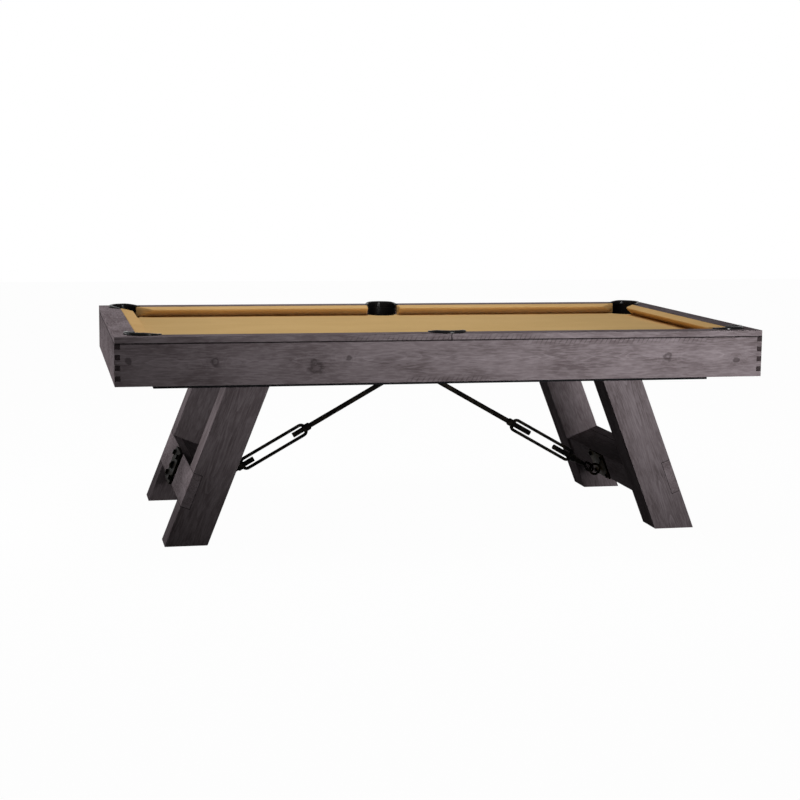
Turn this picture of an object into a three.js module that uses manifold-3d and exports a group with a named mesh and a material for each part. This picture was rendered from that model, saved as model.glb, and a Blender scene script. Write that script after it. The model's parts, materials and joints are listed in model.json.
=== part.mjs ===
// A slate pool table with an 8 ft playing field, on leaning trestle legs braced by turnbuckles.
// Millimetres, +X along the table, +Z up. The origin is on the floor, under the table's centre.

import * as THREE from 'three';
import { mergeVertices } from 'three/addons/utils/BufferGeometryUtils.js';
import Module from 'manifold-3d';

const wasm = await Module();
wasm.setup();

// Driving dimensions
const PLAY_LENGTH = 2235.2;               // cushion nose to cushion nose, 88 in
const PLAY_WIDTH = PLAY_LENGTH / 2;
const CUSHION_WIDTH = 52.4;               // nose to the wooden rail
const NOSE_RADIUS = 4.5;
const NOSE_HEIGHT = 32;                   // centre of the nose's round above the bed
const CUSHION_BASE = 5;                   // width of the cushion where it meets the bed
const RAIL_WIDTH = 85;
const RAIL_TOP = 820;                     // height of the rails above the floor
const RAIL_LIP = 24;                      // edge of the rail board seen above the apron
const RAIL_BLOCK = 44;                    // width of the block that stands on the slate
const BED_TOP = 777;                      // top of the cloth on the slate
const APRON_BOTTOM = 639;
const APRON_THICKNESS = 20;
const FINGER_COUNT = 8;                   // slots in each corner's finger joint
const GAP = 0.3;                          // clearance kept between touching pieces
const PAST = 100;                         // how far a cutting tool runs past the piece's edge
const OVERLAP = 2;                        // how far joined shapes run into each other
const HOLE_SIDES = 40;                    // facets round the pocket holes

// Slate, cloth and the frame under them
const CLOTH_THICKNESS = 0.7;
const SLATE_THICKNESS = 25.4;
const SLATE_HALF_LENGTH = 1211;
const SLATE_HALF_WIDTH = 652;
const SLATE_SEAM = 400;                   // distance from the centre to each joint in the slate
const CLOTH_MARGIN = 8;                   // the cloth stops this far inside the slate's edge
const FRAME_BOTTOM = 625.3;               // where the frame rests on the boards that hold the legs
const BEAM_WIDTH = 45;
const FRAME_HALF_LENGTH = 1075;
const FRAME_HALF_WIDTH = 515;

// Pockets
const POCKET_RADIUS = 60;
const POCKET_WALL = 3;
const POCKET_CLEARANCE = 0.6;             // between a cup's wall and the hole that it stands in
const RIM_RADIUS = 73.5;
const RIM_HEIGHT = 11.8;
const RIM_LIP = 15;                       // how far the rim reaches down into the rail
const SIDE_RIM_SPREAD = 98;               // degrees from the middle of a rim to the end of each horn
const CORNER_RIM_SPREAD = 107;
const RIM_TAPER_START = 40;               // degrees from the middle, where the horns start to sink
const RIM_SINK = 0.6;                     // share of the rim's height that the horns lose
const CORNER_OFFSET = 25;                 // corner pocket centre, outside the nose lines' crossing
const SIDE_POCKET_Y = 616;
const CUP_FLOOR = 658;
const CORNER_MOUTH = 82;                  // cushion tip to the nose lines' crossing
const SIDE_MOUTH = 73;                    // cushion tip to the table's centre line
const CORNER_FACING = 39;                 // degrees between the facing and the nose line
const SIDE_FACING = 85;

// Legs: leaning planks, feet outwards
const LEAN = THREE.MathUtils.degToRad(21.4);
const LEG_WIDTH = 151.5;                  // across the plank, square to its lean
const LEG_DEPTH = 139;
const LEG_FACE_Y = 518.5;                 // outer face of the legs, front and back
const FOOT_INNER_X = 904.8;               // inner edge of the foot on the floor
const LEG_TOP = 607;
const MOUNT_BOARD_INNER_X = 666.5;
const MOUNT_BOARD_OUTER_X = 1104;

// Stretcher between the legs of a pair, given along the leg (u) and across it (w)
const STRETCHER_TOP_U = 244.7;
const CORE_HEIGHT = 114;
const CORE_INNER_W = 10.2;
const COVER_HEIGHT = 137.7;
const COVER_THICKNESS = 38;
const CLAMP_PLATE_WIDTH = 170;
const CLAMP_PLATE_THICKNESS = 12;
const EYE_PLATE_THICKNESS = 8;
const PLATE_MARGIN = 2;                   // the plates stop this far inside the boards they clamp
const EYE_U = 175;
const EYE_W = -22;                        // centre of the eye, inside the legs' inner faces
const EYE_RADIUS = 22;
const EYE_WIRE = 4.75;
const PULL_DROP = 5.5;                    // the brace pulls this far below the eye's centre
const BOLT_RADIUS = 8;
const BOLT_HOLE = 8.6;
const BOLT_END = 14;                      // how far the bolt stands out of the clamp plate
const BOSS_RADIUS = 11;
const BOSS_HEIGHT = 5;

// Turnbuckle brace, measured along its axis from the pin under the table's centre
const PIN_X = 45;
const PIN_Z = 590.5;
const PIN_RADIUS = 6;
const ROD_RADIUS = 10.3;
const BODY_START = 438;
const BODY_END = 787;
const BODY_WIRE = 6.1;
const BODY_HALF_WIDTH = 23.4;             // axis to the centre of each side bar
const BODY_BEND = 34;                     // length over which the side bars bow in
const COLLAR_RADIUS = 15.6;
const COLLAR_LENGTH = 34;
const RUNNING_CLEARANCE = 0.06;           // between a rod and the collar that turns on it
const ROUND_SIDES = 24;                   // facets round the rods and their bores
const ROD_EYE_RADIUS = 21;
const ROD_EYE_WIRE = 5.5;
const ROD_EYE_ROLL = THREE.MathUtils.degToRad(38);
const LINK_CLEARANCE = 3;                 // between the rod's eye and the ring that it pulls on
const BRACKET_HALF_LENGTH = 110;
const BRACKET_HALF_WIDTH = 55;
const BRACKET_THICKNESS = 10;
const WEB_HALF = 6;                       // half the thickness of the bracket's web
const WEB_FLARE = 42;                     // how far the web spreads outside the pins where it meets the plate
const LUG_RADIUS = 16;
const CHEEK = 8;                          // thickness of each side of the rods' forks
const FORK_LENGTH = 52;
const FORK_RADIUS = 15;
const STUBS = {                           // where the threaded ends stop inside each body
  left: { upper: 521, lower: 708 },
  right: { upper: 551, lower: 672 },
};

const SIDES = [['left', -1], ['right', 1]];
const DEPTHS = [['front', -1], ['back', 1]];

// Sizes that follow
const NOSE_X = PLAY_LENGTH / 2;
const NOSE_Y = PLAY_WIDTH / 2;
const WOOD_X = NOSE_X + CUSHION_WIDTH;
const WOOD_Y = NOSE_Y + CUSHION_WIDTH;
const HALF_LENGTH = WOOD_X + RAIL_WIDTH;
const HALF_WIDTH = WOOD_Y + RAIL_WIDTH;
const LIP_BOTTOM = RAIL_TOP - RAIL_LIP;
const SLATE_TOP = BED_TOP - CLOTH_THICKNESS - GAP;
const SLATE_BOTTOM = SLATE_TOP - SLATE_THICKNESS;
const CORNER_X = NOSE_X + CORNER_OFFSET;
const CORNER_Y = NOSE_Y + CORNER_OFFSET;
const POCKET_HOLE = POCKET_RADIUS + POCKET_WALL + POCKET_CLEARANCE;

const LOOKS = {
  wood: { color: 0x5f5557, roughness: 0.72, metalness: 0 },
  blackWood: { color: 0x17171a, roughness: 0.6, metalness: 0 },
  slate: { color: 0x55585c, roughness: 0.8, metalness: 0 },
  cloth: { color: 0xc29a5f, roughness: 0.95, metalness: 0 },
  pocket: { color: 0x101112, roughness: 0.25, metalness: 0 },
  steel: { color: 0x1b1b1c, roughness: 0.45, metalness: 0.8 },
};

// Booleans: a closed geometry becomes a solid, and comes back as a geometry
function toSolid(geometry) {
  const bare = geometry.clone();
  bare.deleteAttribute('normal');
  bare.deleteAttribute('uv');
  const merged = mergeVertices(bare, 1e-4);
  const index = merged.index.array;
  const faces = [];
  for (let i = 0; i < index.length; i += 3) {
    const [a, b, c] = [index[i], index[i + 1], index[i + 2]];
    if (a !== b && b !== c && c !== a) faces.push(a, b, c);
  }
  return new wasm.Manifold(new wasm.Mesh({
    numProp: 3,
    vertProperties: Float32Array.from(merged.attributes.position.array),
    triVerts: Uint32Array.from(faces),
  }));
}

function toGeometry(solid) {
  const mesh = solid.getMesh();
  const geometry = new THREE.BufferGeometry();
  geometry.setAttribute('position', new THREE.BufferAttribute(Float32Array.from(mesh.vertProperties), 3));
  geometry.setIndex(new THREE.BufferAttribute(Uint32Array.from(mesh.triVerts), 1));
  geometry.computeVertexNormals();
  return geometry;
}

function join(...geometries) {
  return toGeometry(geometries.map(toSolid).reduce((whole, next) => whole.add(next)));
}

function cut(geometry, ...tools) {
  return toGeometry(tools.map(toSolid).reduce((whole, tool) => whole.subtract(tool), toSolid(geometry)));
}

function common(a, b) {
  return toGeometry(toSolid(a).intersect(toSolid(b)));
}

// Prisms: an outline extruded along one of the axes
function outline(points) {
  return new THREE.Shape(points.map(([x, y]) => new THREE.Vector2(x, y)));
}

function extrude(shape, depth) {
  return new THREE.ExtrudeGeometry(shape, { depth, bevelEnabled: false, curveSegments: 12 });
}

function prismZ(points, z0, z1) {
  return extrude(outline(points), z1 - z0).translate(0, 0, z0);
}

function prismY(shape, y0, y1) {
  return extrude(shape, y1 - y0).rotateX(Math.PI / 2).translate(0, y1, 0);
}

function prismX(points, x0, x1) {
  const turn = new THREE.Matrix4().makeBasis(
    new THREE.Vector3(0, 1, 0), new THREE.Vector3(0, 0, 1), new THREE.Vector3(1, 0, 0));
  return extrude(outline(points), x1 - x0).applyMatrix4(turn).translate(x0, 0, 0);
}

function block(x0, x1, y0, y1, z0, z1) {
  return new THREE.BoxGeometry(x1 - x0, y1 - y0, z1 - z0)
    .translate((x0 + x1) / 2, (y0 + y1) / 2, (z0 + z1) / 2);
}

function upright(radius, x, y, z0, z1) {
  return new THREE.CylinderGeometry(radius, radius, z1 - z0, HOLE_SIDES)
    .rotateX(Math.PI / 2).translate(x, y, (z0 + z1) / 2);
}

// A revolved profile of [radius, height] points about a vertical axis
function revolve(profile, segments) {
  const points = profile.map(([r, z]) => new THREE.Vector2(r, z));
  return new THREE.LatheGeometry(points, segments).rotateX(Math.PI / 2);
}

// The same piece for another quarter of the table: an odd mirror turns its faces round
function mirrored(geometry, sx, sy) {
  const copy = geometry.clone().applyMatrix4(new THREE.Matrix4().makeScale(sx, sy, 1));
  if (sx * sy < 0) {
    const index = copy.index.array;
    for (let i = 0; i < index.length; i += 3) [index[i + 1], index[i + 2]] = [index[i + 2], index[i + 1]];
  }
  copy.computeVertexNormals();
  return copy;
}

// The whole table
const table = new THREE.Group();

function add(name, geometry, look, parent = table) {
  const mesh = new THREE.Mesh(geometry, new THREE.MeshStandardMaterial(LOOKS[look]));
  mesh.name = name;
  parent.add(mesh);
  return mesh;
}

// Apron: four boards with finger joints at the corners
function apronOutline(half, firstSlot) {
  const top = LIP_BOTTOM - GAP;
  const slot = (top - APRON_BOTTOM) / FINGER_COUNT;
  const side = [];
  for (let i = 0; i < FINGER_COUNT; i += 1) {
    const reach = i % 2 === firstSlot ? half : half - APRON_THICKNESS - GAP;
    const low = APRON_BOTTOM + i * slot + (i > 0 && i % 2 === firstSlot ? GAP : 0);
    const high = APRON_BOTTOM + (i + 1) * slot + (i < FINGER_COUNT - 1 && i % 2 !== firstSlot ? GAP : 0);
    side.push([reach, low], [reach, high]);
  }
  const mirror = side.map(([x, z]) => [-x, z]).reverse();
  return [...side, ...mirror];
}

function apronLong(sign) {
  const face = sign * HALF_WIDTH;
  const back = sign * (HALF_WIDTH - APRON_THICKNESS);
  const board = prismY(outline(apronOutline(HALF_LENGTH, 0)), Math.min(face, back), Math.max(face, back));
  return cut(board, upright(POCKET_HOLE, 0, sign * SIDE_POCKET_Y, APRON_BOTTOM - PAST, RAIL_TOP));
}

function apronEnd(sign) {
  const face = sign * HALF_LENGTH;
  const back = sign * (HALF_LENGTH - APRON_THICKNESS);
  return prismX(apronOutline(HALF_WIDTH, 1), Math.min(face, back), Math.max(face, back));
}

// Rails: a board over the apron, with a block under its inner half that stands on the slate
function pocketHole(x, y) {
  return upright(POCKET_HOLE, x, y, BED_TOP - PAST, RAIL_TOP + PAST);
}

function pocketHoles() {
  return [pocketHole(0, SIDE_POCKET_Y), pocketHole(CORNER_X, CORNER_Y)];
}

function endPocketHoles() {
  return [pocketHole(CORNER_X, CORNER_Y), pocketHole(CORNER_X, -CORNER_Y)];
}

function railLong() {
  const start = GAP / 2;
  const board = prismZ([[start, WOOD_Y], [WOOD_X - GAP, WOOD_Y], [HALF_LENGTH - GAP, HALF_WIDTH],
    [start, HALF_WIDTH]], LIP_BOTTOM, RAIL_TOP);
  const base = prismZ([[start, WOOD_Y], [WOOD_X - GAP, WOOD_Y],
    [WOOD_X + RAIL_BLOCK - GAP, WOOD_Y + RAIL_BLOCK], [start, WOOD_Y + RAIL_BLOCK]],
  BED_TOP + GAP, LIP_BOTTOM + OVERLAP);
  return cut(join(board, base), ...pocketHoles());
}

function railEnd() {
  const trapezium = (outer, z0, z1) => prismZ([[WOOD_X, WOOD_Y - GAP], [WOOD_X, GAP - WOOD_Y],
    [WOOD_X + outer, GAP - WOOD_Y - outer], [WOOD_X + outer, WOOD_Y + outer - GAP]], z0, z1);
  const board = trapezium(RAIL_WIDTH, LIP_BOTTOM, RAIL_TOP);
  const base = trapezium(RAIL_BLOCK, BED_TOP + GAP, LIP_BOTTOM + OVERLAP);
  return cut(join(board, base), ...endPocketHoles());
}

// Cushions: a nosed profile, undercut down to the bed, with angled facings at the pockets
function cushionProfile() {
  const centre = [CUSHION_WIDTH - NOSE_RADIUS, BED_TOP + NOSE_HEIGHT];
  const low = BED_TOP + 2 * GAP;
  const points = [[GAP, RAIL_TOP - GAP], [GAP, low], [CUSHION_BASE, low]];
  for (const degrees of [-55, -25, 5, 35, 60, 85]) {
    const angle = THREE.MathUtils.degToRad(degrees);
    points.push([centre[0] + NOSE_RADIUS * Math.cos(angle), centre[1] + NOSE_RADIUS * Math.sin(angle)]);
  }
  return points;                          // [distance from the wood, height]
}

function facingRun(degrees) {
  return CUSHION_WIDTH / Math.tan(THREE.MathUtils.degToRad(degrees));
}

function cushionLong() {
  const bar = prismX(cushionProfile().map(([d, z]) => [WOOD_Y - d, z]), 0, HALF_LENGTH);
  const corner = NOSE_X - CORNER_MOUTH;
  const plan = prismZ([[SIDE_MOUTH, NOSE_Y], [corner, NOSE_Y], [corner + facingRun(CORNER_FACING), WOOD_Y],
    [SIDE_MOUTH - facingRun(SIDE_FACING), WOOD_Y]], BED_TOP, RAIL_TOP);
  return common(bar, plan);
}

function cushionEnd() {
  const profile = cushionProfile().map(([d, z]) => [WOOD_X - d, z]);
  const bar = prismY(outline(profile), -HALF_WIDTH, HALF_WIDTH);
  const tip = NOSE_Y - CORNER_MOUTH;
  const back = tip + facingRun(CORNER_FACING);
  const plan = prismZ([[NOSE_X, -tip], [WOOD_X, -back], [WOOD_X, back], [NOSE_X, tip]], BED_TOP, RAIL_TOP);
  return common(bar, plan);
}

// Notches that the slate and its cloth leave for the pockets, round where the ball drops in
function pocketNotches(z0, z1) {
  const notches = [];
  for (const sy of [1, -1]) {
    const places = [[0, sy * SIDE_POCKET_Y, sy * Math.PI / 2]];
    for (const sx of [1, -1]) places.push([sx * CORNER_X, sy * CORNER_Y, Math.atan2(sy, sx)]);
    for (const [x, y, turn] of places) {
      const opening = block(0, PAST, -POCKET_HOLE, POCKET_HOLE, z0, z1).rotateZ(turn).translate(x, y, 0);
      notches.push(upright(POCKET_RADIUS, x, y, z0, z1), opening);
    }
  }
  return notches;
}

function bedPiece(x0, x1, halfWidth, z0, z1) {
  return cut(block(x0, x1, -halfWidth, halfWidth, z0, z1), ...pocketNotches(z0 - 1, z1 + 1));
}

// Pocket rim: a crowned crescent on the rail, with a lip into the rail's hole and horns that sink
function pocketRim(spread) {
  const profile = [[POCKET_RADIUS, -RIM_LIP], [POCKET_RADIUS + POCKET_WALL, -RIM_LIP],
    [POCKET_RADIUS + POCKET_WALL, GAP], [RIM_RADIUS, GAP], [RIM_RADIUS, 0.45 * RIM_HEIGHT],
    [RIM_RADIUS - 2.4, 0.82 * RIM_HEIGHT], [RIM_RADIUS - 7, RIM_HEIGHT],
    [POCKET_RADIUS + 2, 0.9 * RIM_HEIGHT], [POCKET_RADIUS, 0.6 * RIM_HEIGHT], [POCKET_RADIUS, -RIM_LIP]];
  const half = THREE.MathUtils.degToRad(spread);
  const far = 2 * RIM_RADIUS;
  const wedge = prismZ([[0, 0], [far * Math.cos(half), -far * Math.sin(half)], [far * 3, -far * 3],
    [far * 3, far * 3], [far * Math.cos(half), far * Math.sin(half)]], -RIM_LIP - 1, RIM_HEIGHT + 1);
  const rim = common(revolve(profile, 44), wedge);
  const position = rim.attributes.position;
  for (let i = 0; i < position.count; i += 1) {
    const angle = THREE.MathUtils.radToDeg(Math.abs(Math.atan2(position.getY(i), position.getX(i))));
    const height = position.getZ(i);
    const sink = RIM_SINK * THREE.MathUtils.smoothstep(angle, RIM_TAPER_START, spread);
    if (height > GAP) position.setZ(i, GAP + (height - GAP) * (1 - sink));
  }
  rim.computeVertexNormals();
  return rim;
}

// Pocket cup: the wall under the rim and the bucket below the slate in one moulding, open to the bed
function pocketCup() {
  const [inner, outer] = [POCKET_RADIUS, POCKET_RADIUS + POCKET_WALL];
  const neck = SLATE_BOTTOM - 6;
  const floor = CUP_FLOOR + POCKET_WALL;
  const profile = [[0, CUP_FLOOR], [44, CUP_FLOOR], [56, floor + 12], [outer, neck],
    [outer, RAIL_TOP - RIM_LIP - GAP], [inner, RAIL_TOP - RIM_LIP - GAP], [inner, neck],
    [53, floor + 13], [42.5, floor], [0, floor]];
  const front = block(-2 * outer, 0, -2 * outer, 2 * outer, SLATE_BOTTOM - GAP, RAIL_TOP);
  return cut(revolve(profile, 32), front);
}

// Frame under the slate: the long beams hang lower between the boards that hold the legs
function frameBeams() {
  const [length, width, top] = [FRAME_HALF_LENGTH, FRAME_HALF_WIDTH, SLATE_BOTTOM - GAP];
  const across = width - BEAM_WIDTH - GAP;
  const step = MOUNT_BOARD_INNER_X - GAP;
  const low = LEG_TOP + GAP;
  const shape = outline([[-length, FRAME_BOTTOM], [-step, FRAME_BOTTOM], [-step, low],
    [step, low], [step, FRAME_BOTTOM], [length, FRAME_BOTTOM], [length, top], [-length, top]]);
  for (const [name, sign] of DEPTHS) {
    const inner = sign * (width - BEAM_WIDTH);
    const beam = prismY(shape, Math.min(inner, sign * width), Math.max(inner, sign * width));
    add(`frame_beam_${name}`, beam, 'blackWood');
  }
  const places = { left_end: BEAM_WIDTH / 2 - length, left_seam: -SLATE_SEAM, centre: 0,
    right_seam: SLATE_SEAM, right_end: length - BEAM_WIDTH / 2 };
  for (const [name, x] of Object.entries(places)) {
    const beam = block(x - BEAM_WIDTH / 2, x + BEAM_WIDTH / 2, -across, across, FRAME_BOTTOM, top);
    add(`frame_beam_${name}`, beam, 'blackWood');
  }
}

// A point on the right-hand leg: u along the plank from its inner foot, w across it outwards
function legPoint(u, w) {
  return [FOOT_INNER_X - u * Math.sin(LEAN) + w * Math.cos(LEAN), u * Math.cos(LEAN) + w * Math.sin(LEAN)];
}

// Where the leg's face at distance w from its inner edge passes height z
function legAtHeight(w, z) {
  return legPoint((z - w * Math.sin(LEAN)) / Math.cos(LEAN), w);
}

function legRectangle(u0, u1, w0, w1) {
  return outline([legPoint(u0, w0), legPoint(u0, w1), legPoint(u1, w1), legPoint(u1, w0)]);
}

function leg() {
  const notchFloor = LEG_WIDTH - COVER_THICKNESS - GAP;
  const [low, high] = [STRETCHER_TOP_U - COVER_HEIGHT - GAP, STRETCHER_TOP_U + GAP];
  const shape = outline([legAtHeight(0, 0), legAtHeight(LEG_WIDTH, 0), legPoint(low, LEG_WIDTH),
    legPoint(low, notchFloor), legPoint(high, notchFloor), legPoint(high, LEG_WIDTH),
    legAtHeight(LEG_WIDTH, LEG_TOP), legAtHeight(0, LEG_TOP)]);
  return prismY(shape, -LEG_DEPTH / 2, LEG_DEPTH / 2);
}

// A bar square to the legs, through the stretcher, on the eye's axis
function eyeAxisBar(radius, w0, w1) {
  const [x, z] = legPoint(EYE_U, (w0 + w1) / 2);
  return new THREE.CylinderGeometry(radius, radius, w1 - w0, ROUND_SIDES)
    .rotateZ(-Math.PI / 2).rotateY(-LEAN).translate(x, 0, z);
}

function stretcherCore() {
  const outer = LEG_WIDTH - COVER_THICKNESS - GAP;
  const half = LEG_FACE_Y - LEG_DEPTH - GAP;
  const shape = legRectangle(STRETCHER_TOP_U - CORE_HEIGHT, STRETCHER_TOP_U, CORE_INNER_W, outer);
  return cut(prismY(shape, -half, half), eyeAxisBar(BOLT_HOLE, -10, LEG_WIDTH));
}

function stretcherCover() {
  const shape = legRectangle(
    STRETCHER_TOP_U - COVER_HEIGHT, STRETCHER_TOP_U, LEG_WIDTH - COVER_THICKNESS, LEG_WIDTH);
  return cut(prismY(shape, -LEG_FACE_Y, LEG_FACE_Y), eyeAxisBar(BOLT_HOLE, 50, 2 * LEG_WIDTH));
}

function clampPlate() {
  const half = CLAMP_PLATE_WIDTH / 2;
  const shape = legRectangle(STRETCHER_TOP_U - COVER_HEIGHT + PLATE_MARGIN, STRETCHER_TOP_U - PLATE_MARGIN,
    LEG_WIDTH + GAP, LEG_WIDTH + GAP + CLAMP_PLATE_THICKNESS);
  return cut(prismY(shape, -half, half), eyeAxisBar(BOLT_HOLE, 50, 2 * LEG_WIDTH));
}

// Eye bolt welded to its plate: the ring stands upright along the table, its shank runs through the stretcher
function eyePlate() {
  const half = CLAMP_PLATE_WIDTH / 2;
  const back = CORE_INNER_W - GAP;
  const front = back - EYE_PLATE_THICKNESS;
  const plate = prismY(legRectangle(STRETCHER_TOP_U - CORE_HEIGHT + PLATE_MARGIN,
    STRETCHER_TOP_U - PLATE_MARGIN, front, back), -half, half);
  const [x, z] = legPoint(EYE_U, EYE_W);
  const ring = new THREE.TorusGeometry(EYE_RADIUS, EYE_WIRE, 8, 24).rotateX(Math.PI / 2).translate(x, 0, z);
  const boss = eyeAxisBar(BOSS_RADIUS, front - BOSS_HEIGHT, front + OVERLAP);
  const shank = eyeAxisBar(BOLT_RADIUS, back - OVERLAP, LEG_WIDTH + CLAMP_PLATE_THICKNESS + BOLT_END);
  return join(plate, ring, boss, shank);
}

// Centre bracket: a plate under the middle beam with a web that both braces pin to
function centreBracket() {
  const top = FRAME_BOTTOM - GAP;
  const low = top - BRACKET_THICKNESS;
  const [length, width] = [BRACKET_HALF_LENGTH, BRACKET_HALF_WIDTH];
  const plate = block(-length, length, -width, width, low, top);
  const web = new THREE.Shape();
  web.moveTo(-PIN_X - WEB_FLARE, low + OVERLAP);
  web.lineTo(-PIN_X - LUG_RADIUS, PIN_Z);
  web.absarc(-PIN_X, PIN_Z, LUG_RADIUS, Math.PI, 1.5 * Math.PI);
  web.lineTo(PIN_X, PIN_Z - LUG_RADIUS);
  web.absarc(PIN_X, PIN_Z, LUG_RADIUS, -0.5 * Math.PI, 0);
  web.lineTo(PIN_X + WEB_FLARE, low + OVERLAP);
  for (const x of [-PIN_X, PIN_X]) {
    const hole = new THREE.Path();
    hole.absarc(x, PIN_Z, PIN_RADIUS + GAP, 0, 2 * Math.PI);
    web.holes.push(hole);
  }
  return join(plate, prismY(web, -WEB_HALF, WEB_HALF));
}

// A round bar along the brace's axis, between two distances from the pin
function axisBar(radius, from, to, endRadius = radius, sides = ROUND_SIDES) {
  return new THREE.CylinderGeometry(endRadius, radius, to - from, sides)
    .rotateZ(-Math.PI / 2).translate((from + to) / 2, 0, 0);
}

// Upper rod: a fork with its pin, and a bar whose threaded end runs into the turnbuckle
function upperRod(stubEnd) {
  const inner = WEB_HALF + 0.5;
  const shape = new THREE.Shape();
  shape.moveTo(0, FORK_RADIUS);
  shape.absarc(0, 0, FORK_RADIUS, 0.5 * Math.PI, 1.5 * Math.PI);
  shape.lineTo(FORK_LENGTH - 8, -FORK_RADIUS);
  shape.lineTo(FORK_LENGTH, -ROD_RADIUS);
  shape.lineTo(FORK_LENGTH, ROD_RADIUS);
  shape.lineTo(FORK_LENGTH - 8, FORK_RADIUS);
  const slot = block(-20, FORK_LENGTH - 16, -inner, inner, -20, 20);
  const fork = cut(prismY(shape, -inner - CHEEK, inner + CHEEK), slot);
  const pin = new THREE.CylinderGeometry(PIN_RADIUS, PIN_RADIUS, 2 * (inner + CHEEK) + 8, 16);
  return join(fork, pin, axisBar(ROD_RADIUS, FORK_LENGTH - 4, stubEnd));
}

// Lower rod: a threaded bar that ends in an eye, linked through the ring of the eye plate
function lowerRod(stubEnd, eyeCentre) {
  const shoulder = eyeCentre - ROD_EYE_RADIUS;
  const eye = new THREE.TorusGeometry(ROD_EYE_RADIUS, ROD_EYE_WIRE, 8, 24)
    .rotateX(ROD_EYE_ROLL).translate(eyeCentre, 0, 0);
  const neck = axisBar(ROD_RADIUS, shoulder - 22, shoulder, ROD_EYE_WIRE - 0.3);
  return join(eye, neck, axisBar(ROD_RADIUS, stubEnd, shoulder - 21));
}

// Turnbuckle body: two side bars that bow into a bored collar at each end
function turnbuckleBody() {
  const half = (BODY_END - BODY_START) / 2;
  const straight = half - BODY_BEND;
  const at = (x, z) => new THREE.Vector3(x, 0, z);
  const bow = new THREE.QuadraticBezierCurve3(
    at(straight, BODY_HALF_WIDTH), at(half - 14, BODY_HALF_WIDTH), at(half - 8, 9));
  const section = new THREE.Shape().absarc(0, 0, BODY_WIRE, 0, 2 * Math.PI);
  const bend = new THREE.ExtrudeGeometry(section, { steps: 6, curveSegments: 4, extrudePath: bow });
  const bar = axisBar(BODY_WIRE, -straight - OVERLAP, straight + OVERLAP, BODY_WIRE, 8)
    .translate(0, 0, BODY_HALF_WIDTH);
  const inner = half - COLLAR_LENGTH;
  const collar = revolve([[0, inner], [COLLAR_RADIUS, inner], [COLLAR_RADIUS, half - 4],
    [COLLAR_RADIUS - 3, half], [0, half]], 20).rotateY(Math.PI / 2);
  const end = join(bend, bend.clone().rotateX(Math.PI), collar);
  const solid = join(end, mirrored(end, -1, 1), bar, bar.clone().rotateX(Math.PI));
  const bore = (ROD_RADIUS + RUNNING_CLEARANCE) / Math.cos(Math.PI / ROUND_SIDES);
  return cut(solid, axisBar(bore, -half - 5, half + 5));
}

// One brace, from the centre bracket's pin down to the eye on the stretcher
function brace(side, turn) {
  const [eyeX, eyeZ] = legPoint(EYE_U, EYE_W);
  const toRing = new THREE.Vector2(eyeX - PIN_X, eyeZ - PIN_Z);
  const pull = new THREE.Vector2(eyeX - PIN_X, eyeZ - PULL_DROP - PIN_Z).normalize();
  const ringChord = Math.sqrt(EYE_RADIUS ** 2 - toRing.cross(pull) ** 2);
  const group = new THREE.Group();
  const axis = new THREE.Group();
  axis.position.set(PIN_X, 0, PIN_Z);
  axis.rotation.y = -pull.angle();
  group.rotation.z = turn;
  group.add(axis);
  table.add(group);
  const link = ringChord + ROD_EYE_RADIUS - EYE_WIRE - ROD_EYE_WIRE - LINK_CLEARANCE;
  const eyeCentre = toRing.dot(pull) - link;
  add(`brace_upper_rod_${side}`, upperRod(STUBS[side].upper), 'steel', axis);
  add(`brace_lower_rod_${side}`, lowerRod(STUBS[side].lower, eyeCentre), 'steel', axis);
  const body = add(`turnbuckle_body_${side}`, turnbuckleBody(), 'steel', axis);
  body.position.x = (BODY_START + BODY_END) / 2;
}

// Assembly
for (const [name, sign] of DEPTHS) add(`apron_${name}`, apronLong(sign), 'wood');
for (const [name, sign] of SIDES) add(`apron_${name}`, apronEnd(sign), 'wood');

const rim = { side: pocketRim(SIDE_RIM_SPREAD), corner: pocketRim(CORNER_RIM_SPREAD) };
const cup = pocketCup();
const longRail = railLong();
const longCushion = cushionLong();

for (const [side, sx] of SIDES) {
  add(`rail_${side}_end`, mirrored(railEnd(), sx, 1), 'wood');
  add(`cushion_${side}_end`, mirrored(cushionEnd(), sx, 1), 'cloth');
  for (const [depth, sy] of DEPTHS) {
    add(`rail_${depth}_${side}`, mirrored(longRail, sx, sy), 'wood');
    add(`cushion_${depth}_${side}`, mirrored(longCushion, sx, sy), 'cloth');
  }
}

// Pockets face away from the middle of the bed
function pocket(name, x, y, turn, shape) {
  const parts = { rim: [shape, RAIL_TOP], cup: [cup, 0] };
  for (const [part, [geometry, z]] of Object.entries(parts)) {
    const mesh = add(`pocket_${part}_${name}`, geometry, 'pocket');
    mesh.position.set(x, y, z);
    mesh.rotation.z = turn;
  }
}

for (const [depth, sy] of DEPTHS) {
  pocket(`${depth}_middle`, 0, sy * SIDE_POCKET_Y, sy * Math.PI / 2, rim.side);
  for (const [side, sx] of SIDES) {
    pocket(`${depth}_${side}`, sx * CORNER_X, sy * CORNER_Y, Math.atan2(sy, sx), rim.corner);
  }
}

const halfSeam = GAP / 2;
const slates = { slate_left: [-SLATE_HALF_LENGTH, -SLATE_SEAM - halfSeam],
  slate_centre: [halfSeam - SLATE_SEAM, SLATE_SEAM - halfSeam],
  slate_right: [SLATE_SEAM + halfSeam, SLATE_HALF_LENGTH] };
for (const [name, [x0, x1]] of Object.entries(slates)) {
  add(name, bedPiece(x0, x1, SLATE_HALF_WIDTH, SLATE_BOTTOM, SLATE_TOP), 'slate');
}
const clothHalf = SLATE_HALF_LENGTH - CLOTH_MARGIN;
const bedCloth = bedPiece(-clothHalf, clothHalf, SLATE_HALF_WIDTH - CLOTH_MARGIN, SLATE_TOP + GAP, BED_TOP);
add('bed_cloth', bedCloth, 'cloth');

frameBeams();

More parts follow.
